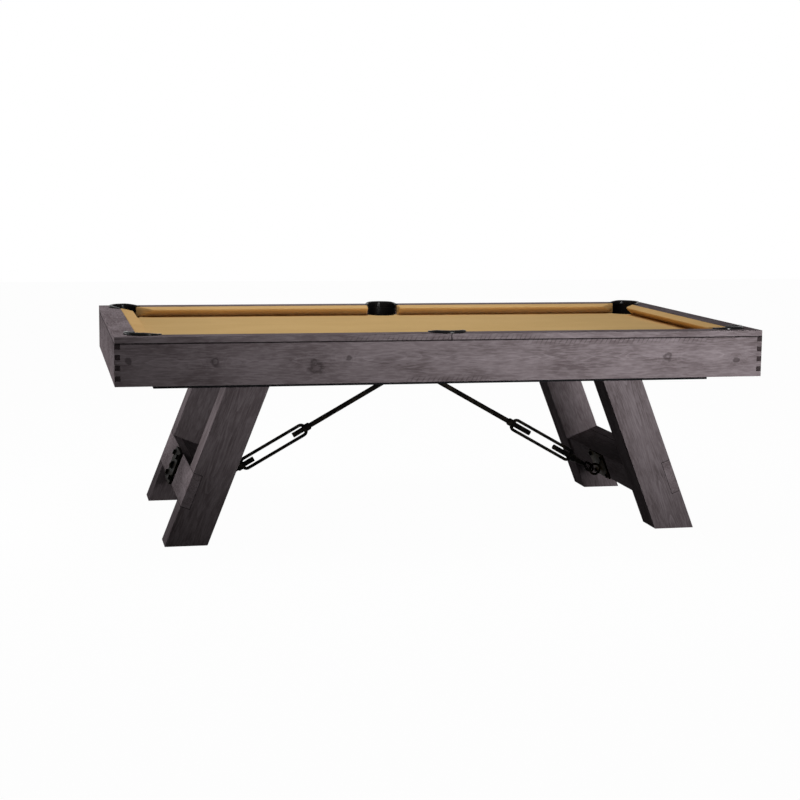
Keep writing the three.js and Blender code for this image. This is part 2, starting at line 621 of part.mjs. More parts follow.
const legSolid = leg();
for (const [side, sx] of SIDES) {
  const pair = new THREE.Group();
  pair.rotation.z = sx > 0 ? 0 : Math.PI;
  table.add(pair);
  const board = block(MOUNT_BOARD_INNER_X, MOUNT_BOARD_OUTER_X, -LEG_FACE_Y, LEG_FACE_Y,
    LEG_TOP + GAP, FRAME_BOTTOM - GAP);
  add(`leg_mount_board_${side}`, board, 'blackWood', pair);
  for (const [depth, sy] of DEPTHS) {
    add(`leg_${depth}_${side}`, legSolid, 'wood', pair).position.y = sx * sy * (LEG_FACE_Y - LEG_DEPTH / 2);
  }
  add(`stretcher_core_${side}`, stretcherCore(), 'wood', pair);
  add(`stretcher_cover_${side}`, stretcherCover(), 'wood', pair);
  add(`clamp_plate_${side}`, clampPlate(), 'steel', pair);
  add(`eye_plate_${side}`, eyePlate(), 'steel', pair);
}

add('centre_bracket', centreBracket(), 'steel');
brace('left', Math.PI);
brace('right', 0);

export default table;
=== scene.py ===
"""Looks for a slate pool table on leaning trestle legs braced by turnbuckles.

Metres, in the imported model's frame: +X along the table, +Y to the back, +Z up, origin on the floor.
"""

import functools
import json
import math
import random

import bmesh
import bpy
from mathutils import Euler, Matrix, Vector


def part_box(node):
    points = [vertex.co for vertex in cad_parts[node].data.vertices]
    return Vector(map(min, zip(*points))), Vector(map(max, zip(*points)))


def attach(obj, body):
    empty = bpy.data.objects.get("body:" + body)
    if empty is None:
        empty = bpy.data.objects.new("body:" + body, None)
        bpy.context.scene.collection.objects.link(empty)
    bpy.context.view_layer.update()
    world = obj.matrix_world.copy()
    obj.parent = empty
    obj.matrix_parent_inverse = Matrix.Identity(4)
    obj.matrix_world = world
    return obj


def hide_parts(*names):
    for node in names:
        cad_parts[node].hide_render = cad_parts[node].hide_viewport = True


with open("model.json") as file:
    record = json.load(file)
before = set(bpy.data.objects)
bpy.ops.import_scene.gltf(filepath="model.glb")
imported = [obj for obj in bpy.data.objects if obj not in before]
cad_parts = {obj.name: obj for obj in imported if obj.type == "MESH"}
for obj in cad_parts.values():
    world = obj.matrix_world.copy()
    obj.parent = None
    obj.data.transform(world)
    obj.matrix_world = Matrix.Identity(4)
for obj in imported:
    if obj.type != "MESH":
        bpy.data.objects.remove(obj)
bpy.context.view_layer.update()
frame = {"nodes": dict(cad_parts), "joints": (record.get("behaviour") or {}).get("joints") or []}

random.seed(7)
SIDES = {"left": -1, "right": 1}
DEPTHS = {"front": -1, "back": 1}
LEAN = math.radians(21.4)              # of the legs, feet outwards
GAP = 0.0003                           # between pieces that lie on each other

# Rounded edges
STEEL_EASE = 0.0008
WOOD_EASE = 0.0012
APRON_EASE = 0.0006                    # less, so that the finger joints stay tight

# Cushions
NOSE_RADIUS = 0.0045
NOSE_HEIGHT = 0.032                    # its centre above the cloth
CUSHION_LIFT = 0.0006                  # the solid stops this far above the cloth
CORNER_RUN = 0.0647                    # how far the corner facings lean, from nose to wood
SIDE_RUN = 0.0046
CUSHION_FOOT = 0.006                   # where the underside ends, out from the wood

# Pockets
POCKET_RADIUS = 0.060
POCKET_WALL = 0.003
RIM_RADIUS = 0.0735
RIM_HEIGHT = 0.0118
RIM_LIP = 0.015
RIM_TAPER_START = 40                   # degrees from the middle of the rim
RIM_SINK = 0.6                         # share of the height that the horns lose
RIM_SPREAD = {"side": 98, "corner": 107}
CUP_FLOOR_RADIUS = 0.044               # outside
SKIRT = 0.020                          # cloth that hangs into each pocket
SKIRT_GAP = 0.0008                     # from the pocket's wall
FOLD = 0.0025                          # radius of the cloth's turn over the slate's edge
SIGHT_RADIUS = 0.0048
SIGHT_INSET = 0.042                    # from the apron's outer face

# Braces, along the axis from the pin under the table's centre
BODY_START = 0.438
BODY_END = 0.787
BODY_WIRE = 0.0068
BODY_HALF_WIDTH = 0.0226
BODY_BEND = 0.043                      # length over which the side bars turn in
BEND_CORNER = 0.029                    # from the body's end to where the bars' two directions cross
BAR_END = (0.024, 0.0090)              # from the body's end, and off the axis, inside the collar
COLLAR_RADIUS = 0.0156
COLLAR_LENGTH = 0.034
ROD_RADIUS = 0.0103
ROD_CHAMFER = 0.0015
BORE = ROD_RADIUS + 0.00006
STUBS = {"left": (0.521, 0.708), "right": (0.551, 0.672)}  # where the threaded ends stop
NECK_START = 0.022                     # how far before its eye a lower rod thins
NECK_LENGTH = 0.021
ROD_EYE_RADIUS = 0.021
ROD_EYE_WIRE = 0.0055
ROD_EYE_ROLL = math.radians(38)
EYE_RADIUS = 0.022
EYE_WIRE = 0.00475
LINK_CLEARANCE = 0.003
THREAD_PITCH = 0.0025
THREAD_RISE = 0.0007
THREAD_ROOT = -0.0004                  # sunk into the rod
THREAD_INSET = 0.001                   # from a rod's cut end
THREAD_CLEARANCE = 0.002               # from a collar
THREAD_ABOVE = 0.085                   # on the upper rod, outside the body
THREAD_TO_EYE = 0.030                  # bare length before the lower rod's eye

# Plates on the stretcher, from the middle of its core: outwards, and up along the legs
CORE_HALF = 0.0515
COVER_HALF = 0.06885                   # half the cover's height, along the legs
COVER_THICKNESS = 0.038
EYE_OUT, EYE_UP = -0.0837, -0.0127
CLAMP_FACE = 0.1021                    # outer face of the clamp plate
BOLT_END = 0.0137                      # how far the eye bolt stands out of it
BOLT_RADIUS, BOLT_TIP = 0.008, 0.0068
EYE_PLATE = (0.170, 0.110, 0.008)      # across the table, up, and thick
CLAMP_UP = -0.01185                    # the middle of its four bolts
BRACKET_THICKNESS = 0.010

# Bolts: the half spacings of a plate's four, and a head's width across flats, height and washer radius
EYE_BOLTS, SMALL_HEAD = (0.068, 0.040), (0.016, 0.007, 0.0125)
CLAMP_BOLTS, CLAMP_HEAD = (0.065, 0.044), (0.018, 0.008, 0.014)
BRACKET_BOLTS = (0.088, 0.036)
EYE_NUT = (0.026, 0.009, 0.019)
WASHER_THICKNESS = 0.002


# --- Shader nodes ---------------------------------------------------------

class Shader:
    """One material's nodes. Each call adds a node and returns its output socket."""

    def __init__(self, name, **surface):
        self.material = bpy.data.materials.new(name)
        self.material.use_nodes = True
        self.tree = self.material.node_tree
        self.surface = self.tree.nodes["Principled BSDF"]
        for socket, value in surface.items():
            self.surface.inputs[socket.replace("_", " ")].default_value = value

    def node(self, kind, inputs, output=0, **settings):
        made = self.tree.nodes.new(kind)
        for key, value in settings.items():
            setattr(made, key, value)
        for key, value in inputs.items():
            self.feed(made.inputs[key], value)
        return made.outputs[output]

    def feed(self, socket, value):
        if isinstance(value, bpy.types.NodeSocket):
            self.tree.links.new(value, socket)
        else:
            socket.default_value = value

    def put(self, socket, value):
        """Feeds one of the surface's own sockets."""
        self.feed(self.surface.inputs[socket], value)

    def place(self, rotation=(0, 0, 0), scale=(1, 1, 1)):
        """Object coordinates in a turned frame, then stretched."""
        here = self.node("ShaderNodeTexCoord", {}, "Object")
        local = self.node("ShaderNodeMapping", {"Vector": here, "Rotation": rotation}, vector_type="TEXTURE")
        return self.stretch(local, scale)

    def vector(self, operation, a, b, output=0):
        return self.node("ShaderNodeVectorMath", {0: a, 1: b}, output, operation=operation)

    def stretch(self, vector, scale):
        return self.vector("MULTIPLY", vector, scale)

    def distance(self, vector, point):
        return self.vector("DISTANCE", vector, point, 1)

    def facing(self, normal, axis):
        """1 where the normal points along the axis, either way, and 0 where it is square to it."""
        return self.math("ABSOLUTE", self.vector("DOT_PRODUCT", normal, tuple(axis), 1))

    def axes(self, vector):
        split = self.tree.nodes.new("ShaderNodeSeparateXYZ")
        self.tree.links.new(vector, split.inputs[0])
        return tuple(split.outputs)

    def join(self, x, y, z):
        return self.node("ShaderNodeCombineXYZ", {0: x, 1: y, 2: z})

    def math(self, operation, a, b=0.0):
        return self.node("ShaderNodeMath", {0: a, 1: b}, operation=operation)

    def plus(self, a, b):
        return self.math("ADD", a, b)

    def minus(self, a, b):
        return self.math("SUBTRACT", a, b)

    def times(self, a, b):
        return self.math("MULTIPLY", a, b)

    def apart(self, a, b):
        return self.math("ABSOLUTE", self.minus(a, b))

    def most(self, marks):
        """The greatest of the marks at each point."""
        return functools.reduce(lambda a, b: self.math("MAXIMUM", a, b), marks)

    def noise(self, vector, scale, detail=2.0, roughness=0.5):
        return self.node("ShaderNodeTexNoise",
                         {"Vector": vector, "Scale": scale, "Detail": detail, "Roughness": roughness})

    def range(self, value, low, high, to_low=0.0, to_high=1.0):
        return self.node("ShaderNodeMapRange", {"Value": value, "From Min": low, "From Max": high,
                                                "To Min": to_low, "To Max": to_high},
                         interpolation_type="SMOOTHSTEP")

    def mix(self, factor, a, b):
        return self.node("ShaderNodeMix", {0: factor, 6: a, 7: b}, 2, data_type="RGBA")

    def bump(self, height, distance, strength=1.0):
        return self.node("ShaderNodeBump", {"Height": height, "Distance": distance, "Strength": strength})


def colour(red, green, blue):
    """An sRGB colour, 0 to 255, as the linear RGBA that shaders take."""
    def linear(value):
        value /= 255
        return value / 12.92 if value <= 0.04045 else ((value + 0.055) / 1.055) ** 2.4
    return (linear(red), linear(green), linear(blue), 1.0)


def background_rays(tree):
    """1 for the rays that look at the background: from the camera, a reflection or a clear material."""
    rays = tree.nodes.new("ShaderNodeLightPath")
    seen = rays.outputs["Is Camera Ray"]
    for kind in ("Is Glossy Ray", "Is Transmission Ray"):
        either = tree.nodes.new("ShaderNodeMath")
        either.operation = "MAXIMUM"
        tree.links.new(seen, either.inputs[0])
        tree.links.new(rays.outputs[kind], either.inputs[1])
        seen = either.outputs[0]
    return seen


def mix_shaders(tree, factor, first, second):
    mix = tree.nodes.new("ShaderNodeMixShader")
    for socket, value in zip(mix.inputs, (factor, first, second)):
        tree.links.new(value, socket)
    return mix.outputs[0]


# --- Stained pine ---------------------------------------------------------

STAIN = {"pale": (152, 142, 146), "mid": (122, 112, 115), "dark": (96, 86, 88), "deepest": (54, 46, 47)}
PORE_STAIN = (34, 29, 30)
# painted shade for the dark gaps along the seams between parts
SEAM_SHADE = (20, 17, 18)
DRIFT, SWAY = 0.11, 0.04               # how far the rings wander across the board, and up it
RINGS = 210.0                          # to the metre
LARGE_KNOT = 0.015                     # a knot with a larger radius has a pale heart
SAW_PITCH, SAW_SLANT = 52.0, -30.0     # turns to the metre, along the board and up it
SAW_FADE = (0.004, 0.030)              # how far in from the edge the marks fade
CHEVRON_FADE = (0.024, 0.004)          # how far off their height the chevrons fade in


class Pine(Shader):
    """Knotty pine's own nodes. The grain runs along the turned frame's X."""

    def __init__(self, name, rotation):
        super().__init__(name, Specular_IOR_Level=0.0)
        self.turn = Euler(rotation).to_matrix()
        self.seed = random.uniform(0, 50)
        self.local = self.place(rotation)
        self.x, self.y, self.z = self.axes(self.local)
        self.normal = self.node("ShaderNodeTexCoord", {}, "Normal")

    def grain(self, scale, detail=2.0, roughness=0.5, seeds=(0, 0, 0)):
        """Noise stretched by scale and shifted by the board's seed along the axes in seeds."""
        spot = self.vector("ADD", self.stretch(self.local, scale), [self.seed * axis for axis in seeds])
        return self.noise(spot, 1.0, detail, roughness)

    def growth(self, pith):
        """The distance from the trunk's wandering centre, which sets the rings."""
        deep = self.plus(self.y, self.times(self.grain((1.6, 1.5, 1.5), 1.5, seeds=(1, 0, 0)), DRIFT))
        high = self.plus(self.z, self.times(self.grain((1.7, 2.0, 2.0), 1.5, seeds=(0, 1, 0)), SWAY))
        return self.distance(self.join(0.0, deep, high), (0, pith[0] + DRIFT / 2, pith[1] + SWAY / 2))

    def knots(self, trunk, knots):
        """The rings pushed out round each knot, and the knots' dark cores."""
        face = self.join(self.x, 0.0, self.z)
        curl = self.grain((45, 1, 60))
        cores = []
        for along, height, radius in knots:
            gap = self.distance(face, (along, 0, height))
            near = self.math("POWER", self.math("DIVIDE", gap, 2.2 * radius), 2.0)
            trunk = self.plus(trunk, self.times(self.math("POWER", 0.37, near), 1.1 * radius))
            gap = self.plus(gap, self.times(self.minus(curl, 0.5), 1.6 * radius))
            pale = 0.7 if radius > LARGE_KNOT else 0.1
            heart = self.times(self.range(gap, 0.5 * radius, 0.1 * radius), pale)
            cores.append(self.minus(self.range(gap, 1.15 * radius, 0.55 * radius), heart))
        return trunk, self.most(cores)

    def chevrons(self, height):
        """Pale points of the growth rings, in a band along the height."""
        rise = self.apart(self.z, height)
        reach = self.noise(self.join(self.times(self.x, 2.6), 0.0, self.seed), 1.0, 3.0)
        level = self.plus(self.times(rise, 55.0), self.times(reach, 13.0))
        glow = self.math("POWER", self.math("FRACT", level), 5.0)
        return self.times(glow, self.range(rise, *CHEVRON_FADE))

    def saw_marks(self, edges, blotch):
        """The saw's slanting teeth, in patches beside the board's edges."""
        slant = self.plus(self.times(self.x, SAW_PITCH), self.times(self.z, SAW_SLANT))
        tooth = self.math("FRACT", self.plus(slant, self.times(self.grain((9, 3, 3)), 2.0)))
        line = self.range(tooth, 0.62, 0.85)
        marks = []
        for edge, way, along, run in edges:
            near = self.range(self.times(self.minus(self.z, edge), way), *SAW_FADE, 1.0, 0.0)
            patch = self.times(self.range(self.apart(self.x, along), run, 0.6 * run),
                               self.range(blotch, 0.2, 0.6))
            marks.append(self.times(self.times(line, near), patch))
        return self.most(marks)

    def seam(self, axis, position, half):
        """A band of painted shade along a seam, on the faces beside it, where the gap would be dark."""
        off = self.apart((self.x, self.y, self.z)[axis], position)
        beside = self.range(self.facing(self.normal, self.turn.col[axis]), 0.8, 0.5)
        return self.times(self.range(off, half, 0.5 * half, 0.0, 0.9), beside)


def stained_pine(name, rotation, pith, knots=(), tone=1.0, saw_edges=(), seams=(), ends=1.0, figure=None):
    """Knotty pine under a grey-brown stain. The grain runs along the turned frame's X, and pith is (y, z) of
    the trunk's centre there. A knot is (x, z, radius) and goes through the board along Y. The saw's slanting
    marks fade away from each edge of saw_edges: (z, direction, x of the marks' middle, half their run).
    Painted shade darkens a band along each seam, given as (axis, position, half width), for the dark gap
    between the parts. The end grain is darker by the share ends. Pale chevrons of the growth rings lie along
    the height figure."""
    wood = Pine(name, rotation)
    pale, mid, dark, deepest = (colour(*(part * tone for part in stain)) for stain in STAIN.values())
    trunk = wood.growth(pith)
    if knots:
        trunk, core = wood.knots(trunk, knots)
    ragged = wood.grain((5, 45, 45))
    phase = wood.plus(wood.times(trunk, RINGS), wood.times(ragged, 0.7))
    ring = wood.math("POWER", wood.math("FRACT", phase), 3.0)
    fibre = wood.grain((22, 330, 330), 3.0, 0.65, (1, 1, 0))
    streak = wood.grain((24, 150, 150), 3.0, 0.6, (0, 1, 1))
    blotch = wood.grain((5, 16, 16), 4.0, 0.6, (1, 0, 1))
    base = wood.mix(wood.range(blotch, 0.3, 0.7), mid, dark)
    base = wood.mix(wood.range(streak, 0.4, 0.65, 0.0, 0.34), base, pale)
    heart = wood.range(trunk, 0.075, 0.03)
    base = wood.mix(wood.times(ring, wood.plus(wood.times(heart, 0.5), 0.1)), base, pale)
    if figure is not None:
        base = wood.mix(wood.times(wood.chevrons(figure), 0.6), base, pale)
    base = wood.mix(wood.range(fibre, 0.5, 0.72, 0.0, 0.28), base, deepest)
    if knots:
        base = wood.mix(wood.times(core, 0.6), base, deepest)
    relief = wood.plus(wood.times(fibre, 0.6), wood.times(ring, 0.25))
    if saw_edges:
        saw = wood.saw_marks(saw_edges, blotch)
        base = wood.mix(wood.times(saw, 0.42), base, deepest)
        relief = wood.minus(relief, wood.times(saw, 0.5))
    pores = wood.grain((200, 260, 260))
    sawn = wood.mix(wood.times(ring, 0.35), deepest, mid)
    sawn = wood.mix(wood.range(pores, 0.45, 0.6, 0.0, 0.5), sawn, colour(*PORE_STAIN))
    end_grain = wood.range(wood.facing(wood.normal, wood.turn.col[0]), 0.75, 0.95)
    base = wood.mix(wood.times(end_grain, ends), base, sawn)
    # painted shade in the gaps along the seams
    for seam in seams:
        base = wood.mix(wood.seam(*seam), base, colour(*SEAM_SHADE))
    wood.put("Base Color", base)
    wood.put("Roughness", wood.range(fibre, 0.3, 0.7, 0.55, 0.72))
    wood.put("Normal", wood.bump(relief, 0.0005, 0.5))
    return wood.material


# --- Other materials ------------------------------------------------------

def painted_wood(name, light, dark):
    """Painted timber with a faint straight grain under the paint."""
    shader = Shader(name, Roughness=0.7, Specular_IOR_Level=0.02)
    streak = shader.noise(shader.place(scale=(1, 12, 12)), 9.0, 4.0, 0.6)
    scuff = shader.noise(shader.place(), 30.0, 4.0, 0.6)
    tone = shader.mix(shader.range(streak, 0.3, 0.7), light, dark)
    scuffed = shader.mix(shader.range(scuff, 0.6, 0.8, 0.0, 0.5), tone, colour(52, 51, 52))
    shader.put("Base Color", scuffed)
    shader.put("Normal", shader.bump(streak, 0.001, 0.4))
    return shader.material


def cloth(name, base, shade):
    """Worsted billiard cloth: a fine weave, a short nap, and a slight unevenness of tone."""
    shader = Shader(name, Roughness=0.93, Specular_IOR_Level=0.0)
    here = shader.place()
    nap = shader.noise(here, 850.0, 3.0, 0.7)
    cloud = shader.noise(shader.stretch(here, (1, 2, 2)), 3.5, 3.0)
    warp, weft = (shader.node("ShaderNodeTexWave",
                              {"Vector": here, "Scale": 420.0, "Distortion": 1.5, "Detail": 1.0}, 1,
                              bands_direction=way) for way in "XY")
    tone = shader.mix(shader.range(cloud, 0.3, 0.7, 0.0, 0.35), base, shade)
    tone = shader.mix(shader.range(nap, 0.45, 0.75, 0.0, 0.35), tone, shade)
    shader.put("Base Color", tone)
    weave = shader.plus(shader.times(warp, weft), shader.times(nap, 1.5))
    shader.put("Normal", shader.bump(weave, 0.00025, 0.5))
    return shader.material


def slate_stone(name):
    """Ground slate: blue-grey with faint bedding clouds."""
    shader = Shader(name, Roughness=0.7)
    cloud = shader.noise(shader.place(scale=(1, 2, 8)), 6.0, 5.0, 0.6)
    grit = shader.noise(shader.place(), 500.0, 2.0)
    shader.put("Base Color", shader.mix(cloud, colour(70, 74, 78), colour(98, 102, 106)))
    shader.put("Normal", shader.bump(grit, 0.0003, 0.5))
    return shader.material


def gloss_black(name, roughness):
    """Black moulding: a hard gloss over a faint grain, dulled in patches by handling."""
    shader = Shader(name, Specular_IOR_Level=0.12, IOR=1.35)
    here = shader.place()
    grain = shader.noise(here, 420.0, 2.0)
    wear = shader.noise(here, 22.0, 3.0)
    shader.put("Base Color", shader.mix(wear, colour(13, 13, 14), colour(24, 23, 24)))
    shader.put("Roughness", shader.range(wear, 0.3, 0.7, roughness, roughness + 0.1))
    shader.put("Normal", shader.bump(grain, 0.0001, 0.25))
    return shader.material


def black_steel(name, dark, worn):
    """Black-oxide steel: dark, with a low sheen, a little browner and rougher where it is handled. The low
    IOR keeps it dark at grazing angles."""
    shader = Shader(name, IOR=1.03)
    here = shader.place()
    wear = shader.noise(here, 35.0, 4.0, 0.6)
    grit = shader.noise(here, 900.0, 2.0)
    shader.put("Base Color", shader.mix(shader.range(wear, 0.4, 0.75), dark, worn))
    shader.put("Metallic", shader.range(wear, 0.5, 0.8, 0.0, 0.04))
    shader.put("Roughness", shader.range(wear, 0.3, 0.7, 0.34, 0.5))
    shader.put("Normal", shader.bump(grit, 0.0002, 0.35))
    return shader.material


def floor_paint(name):
    """The studio's pale floor: it looks white, keeps a faint shadow, and throws little light back."""
    shader = Shader(name, Roughness=0.9, Specular_IOR_Level=0.1)
    cloud = shader.noise(shader.place(), 1.2, 2.0)
    seen = background_rays(shader.tree)
    dim = shader.mix(cloud, (0.04, 0.04, 0.04, 1), (0.05, 0.05, 0.05, 1))
    shader.put("Base Color", shader.mix(seen, dim, (0.9, 0.9, 0.9, 1)))
    white = shader.node("ShaderNodeEmission", {})
    mixed = mix_shaders(shader.tree, shader.times(seen, 0.98), shader.surface.outputs[0], white)
    shader.feed(shader.tree.nodes["Material Output"].inputs["Surface"], mixed)
    return shader.material


# --- Mesh helpers ---------------------------------------------------------

def add_object(name, data):
    made = bpy.data.objects.new(name, data)
    bpy.context.scene.collection.objects.link(made)
    return made


def add_mesh(name, bm, material):
    mesh = bpy.data.meshes.new(name)
    bm.to_mesh(mesh)
    bm.free()
    mesh.materials.append(material)
    return add_object(name, mesh)


def smooth(mesh, sharp):
    """Shades smoothly across edges that bend by less than the angle sharp, in degrees."""
    mesh.shade_smooth()
    mesh.set_sharp_from_angle(angle=math.radians(sharp))


def make_object(name, bm, material, body="table", sharp=40.0):
    """Turns a bmesh into a smoothly shaded piece that rides on a body, in the given material."""
    bmesh.ops.recalc_face_normals(bm, faces=bm.faces)
    made = add_mesh(name, bm, material)
    smooth(made.data, sharp)
    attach(made, body)
    return made


def loft(bm, rings):
    """Skins closed loops of the same number of points, and closes both ends."""
    made = [[bm.verts.new(point) for point in ring] for ring in rings]
    count = len(made[0])
    for low, high in zip(made, made[1:]):
        for i in range(count):
            bm.faces.new((low[i], low[i - 1], high[i - 1], high[i]))
    bm.faces.new(made[0])
    bm.faces.new(made[-1])


def spoke_point(place, along, radius, angle):
    """A point at a distance from the placed frame's X, turned round it."""
    return place @ Vector((along, radius * math.cos(angle), radius * math.sin(angle)))


def revolve(bm, place, profile, segments):
    """Turns (along, radius) points round the placed frame's X and closes both ends. A profile that ends where
    it starts makes a ring."""
    looped = profile[0] == profile[-1]
    points = profile[:-1] if looped else profile
    turns = [2 * math.pi * i / segments for i in range(segments)]
    rings = [[bm.verts.new(spoke_point(place, along, radius, a)) for a in turns] for along, radius in points]
    pairs = list(zip(rings, rings[1:])) + ([(rings[-1], rings[0])] if looped else [])
    for low, high in pairs:
        for i in range(segments):
            bm.faces.new((low[i - 1], low[i], high[i], high[i - 1]))
    if not looped:
        bm.faces.new(rings[0])
        bm.faces.new(rings[-1])


def ring_bar(bm, place, radius, wire):
    """A torus in the placed frame's XY plane."""
    turns, sides = 56, 18
    rows = []
    for i in range(turns):
        a = 2 * math.pi * i / turns
        row = []
        for j in range(sides):
            b = 2 * math.pi * j / sides
            reach = radius + wire * math.cos(b)
            point = Vector((reach * math.cos(a), reach * math.sin(a), wire * math.sin(b)))
            row.append(bm.verts.new(place @ point))
        rows.append(row)
    for i in range(turns):
        for j in range(sides):
            bm.faces.new((rows[i - 1][j - 1], rows[i][j - 1], rows[i][j], rows[i - 1][j]))


def thread(bm, place, start, stop):
    """A screw's crest wound round the placed frame's X, fading in and out at its ends."""
    steps = 18                         # to a turn
    count = int((stop - start) / THREAD_PITCH * steps)
    width = 0.36 * THREAD_PITCH
    rings = []
    for i in range(count + 1):
        along = start + i * THREAD_PITCH / steps
        a = 2 * math.pi * i / steps
        rise = THREAD_RISE * min(1.0, i / steps, (count - i) / steps)
        rings.append([spoke_point(place, along + offset, ROD_RADIUS + height, a)
                      for offset, height in ((-width, THREAD_ROOT), (0, rise), (width, THREAD_ROOT))])
    loft(bm, rings)


def hex_bolt(bm, place, across, height, washer):
    """A hexagon head and its washer, standing along the placed frame's X."""
    top, chamfer = WASHER_THICKNESS, 0.0006
    revolve(bm, place, [(0, washer), (top - chamfer, washer), (top, washer - chamfer), (top, across / 2)], 36)
    corner = across / math.sqrt(3)
    levels = [(top, 1.0), (top + 0.82 * height, 1.0), (top + height, 0.86)]
    turns = [math.radians(60 * k + 30) for k in range(6)]
    loft(bm, [[spoke_point(place, along, scale * corner, a) for a in turns] for along, scale in levels])


def corners(across, up):
    """A plate's four bolt centres."""
    return [(y, z) for y in (-across, across) for z in (-up, up)]


def slab(bm, place, size, ease):
    """A flat plate centred on the placed frame, size along its X, Y and Z, with rounded edges."""
    made = bmesh.ops.create_cube(bm, size=1.0)["verts"]
    bmesh.ops.scale(bm, vec=size, verts=made)
    edges = dict.fromkeys(edge for vert in made for edge in vert.link_edges)
    fresh = bmesh.ops.bevel(bm, geom=list(edges), offset=ease, segments=3, affect="EDGES", profile=0.5)
    whole = {vert for face in fresh["faces"] for vert in face.verts} | {v for v in made if v.is_valid}
    for vert in whole:
        vert.co = place @ vert.co


def soften(node, width):
    """Eases a CAD node's sharp edges with a bevel, as sanding or grinding does."""
    bevel = frame["nodes"][node].modifiers.new("eased edges", "BEVEL")
    bevel.width = width
    bevel.segments = 2
    bevel.limit_method = "ANGLE"
    bevel.angle_limit = math.radians(35)


def dress(node, material):
    mesh = frame["nodes"][node].data
    mesh.materials.clear()
    mesh.materials.append(material)


def middle(node):
    low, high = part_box(node)
    return (low + high) / 2


# --- Wood -----------------------------------------------------------------

# The long aprons' knots: along the table, up from the board's middle, and radius
KNOTS = {
    "front": [(-1.207, 0.014, 0.014), (-0.892, 0.009, 0.018), (-0.518, -0.019, 0.032), (-0.523, 0.001, 0.016),
              (-0.393, 0.016, 0.012), (0.866, 0.003, 0.019), (1.15, -0.012, 0.015)],
    "back": [(-0.6, 0.0, 0.018), (0.3, 0.03, 0.013), (0.95, -0.02, 0.016)],
}
HEART_RISE = 0.009                     # the long aprons' pith and chevrons, up from the board's middle
LEG_TONES = {"front_left": 0.92, "front_right": 0.92, "back_left": 0.84, "back_right": 1.04}
ALONG = (0, 0, 0)                      # how the grain is turned
ACROSS = (0, 0, math.radians(90))


def board(node, *wood, **marks):
    """Dresses a node as a board of its own, in stained_pine's terms."""
    dress(node, stained_pine(node, *wood, **marks))


def dress_wood():
    low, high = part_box("apron_front")
    mid = (low.z + high.z) / 2
    # painted shade along the seam under the rail's edge and along the joint between a long side's two rails
    seam = (2, high.z, 0.0032)         # between the apron and the rail's edge
    rail_joint = (0, 0.0, 0.0028)      # between a long side's two rails
    edges = ((high.z, -1, 0.66, 0.46), (low.z, 1, -0.02, 0.2))
    for depth, way in DEPTHS.items():
        name = f"apron_{depth}"
        pith = (middle(name).y - 0.045 * way, mid + HEART_RISE)
        knots = [(along, mid + rise, radius) for along, rise, radius in KNOTS[depth]]
        board(name, ALONG, pith, knots, saw_edges=edges, seams=[seam], figure=mid + HEART_RISE)
    for side, sign in SIDES.items():
        board(f"apron_{side}", ACROSS, (-sign * 1.30, mid),
              [(0.2 * sign, mid + 0.02, 0.015), (-0.35, mid - 0.03, 0.012)], seams=[seam])
        # painted light and shade: the left end rail is stained lighter and the right one darker, as the light
        # falls
        board(f"rail_{side}_end", ACROSS, (-sign * 1.21, 0.74), tone=1.0 - 0.14 * sign, seams=[seam])
        for depth, way in DEPTHS.items():
            board(f"rail_{depth}_{side}", ALONG, (way * 0.65, 0.74),
                  saw_edges=[(high.z, 1, 0.15 * sign, 0.3)], seams=[seam, rail_joint])
            board(f"leg_{depth}_{side}", (0, -math.radians(90) - sign * LEAN, 0), (way * 0.56, -0.92 * sign),
                  tone=LEG_TONES[f"{depth}_{side}"])
        # painted shade: the left stretcher's core is stained darker, for the shade in its recess between the
        # legs
        board(f"stretcher_core_{side}", ACROSS, (-sign * 0.9, 0.25), tone=0.85 + 0.15 * sign)
        cover = f"stretcher_cover_{side}"
        tilted = (-sign * LEAN, 0, math.radians(90))
        at = Euler(tilted).to_matrix().transposed() @ middle(cover)
        # painted shade along the cover's housing joints
        housing = [(2, at.z + way * COVER_HALF, 0.0025) for way in (-1, 1)]
        housing.append((1, at.y + sign * COVER_THICKNESS / 2, 0.0025))
        board(cover, tilted, (at.y, at.z - 0.02), seams=housing, ends=0.0)
    for name in frame["nodes"]:
        if name.startswith(("apron", "rail", "leg_front", "leg_back", "stretcher")):
            soften(name, APRON_EASE if name.startswith("apron") else WOOD_EASE)


dress_wood()

black_panel = painted_wood("black_panel", colour(28, 28, 30), colour(20, 20, 22))
bed_felt = cloth("bed_felt", colour(216, 181, 125), colour(202, 166, 109))
# painted light: the bed's cloth, written lighter for the cushions, where more light falls on them
lit_cushion_felt = cloth("lit_cushion_felt", colour(222, 183, 126), colour(206, 164, 104))
slate = slate_stone("slate")
rim_gloss = gloss_black("rim_gloss", 0.16)
liner_gloss = gloss_black("liner_gloss", 0.3)
steel = black_steel("black_steel", colour(15, 14, 14), colour(42, 37, 31))
eye_steel = black_steel("eye_steel", colour(20, 17, 11), colour(46, 36, 21))

for name in frame["nodes"]:
    if name.startswith(("frame_beam", "leg_mount_board")):
        dress(name, black_panel)
        soften(name, WOOD_EASE)
    elif name.startswith("slate"):
        dress(name, slate)
    elif name.startswith(("bed_cloth", "cushion")):
        dress(name, bed_felt)
    elif name.startswith("pocket"):
        dress(name, liner_gloss)
    elif name.startswith(("clamp", "eye", "brace", "turnbuckle", "centre")):
        dress(name, steel)
        smooth(frame["nodes"][name].data, 35)
        if name.startswith(("clamp", "centre")):
            soften(name, STEEL_EASE)


# --- Cloth ----------------------------------------------------------------

